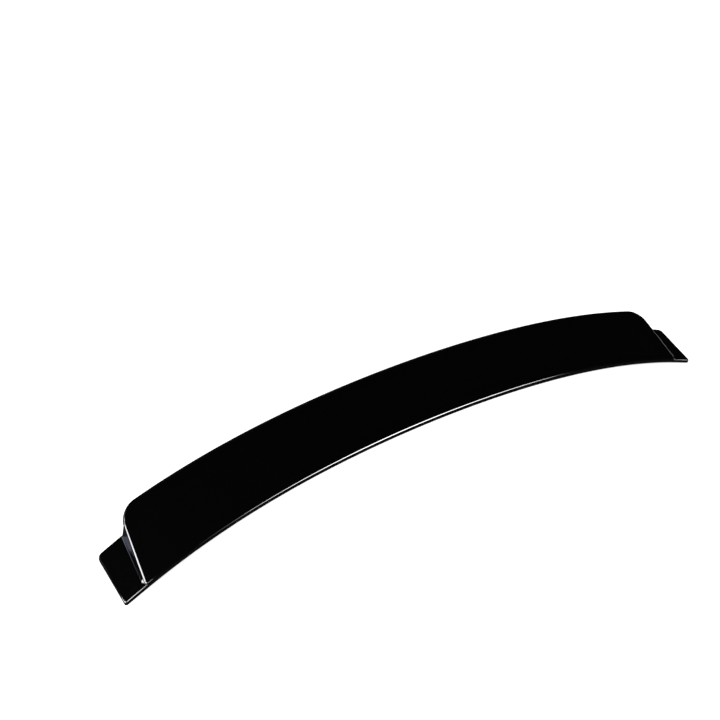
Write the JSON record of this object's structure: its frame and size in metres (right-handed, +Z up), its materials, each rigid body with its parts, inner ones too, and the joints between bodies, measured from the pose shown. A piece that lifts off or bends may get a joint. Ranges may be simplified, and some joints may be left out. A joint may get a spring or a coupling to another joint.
{
  "type": "car roof-edge spoiler",
  "caption": "Gloss-black moulded spoiler for a car's rear window: a bowed, crowned blade with rounded rear corners and flat end tabs.",
  "frame": {"origin": "middle of the width and depth, at the height of the tabs' lower outer edges", "axes": "+X across the car, +Y towards the trailing edge, +Z up"},
  "size_m": [1.1486, 0.173, 0.0974],
  "materials": {
    "gloss_black": "piano-black gloss"
  },
  "bodies": {
    "root": {"spoiler": "gloss_black"}
  },
  "joints": []
}
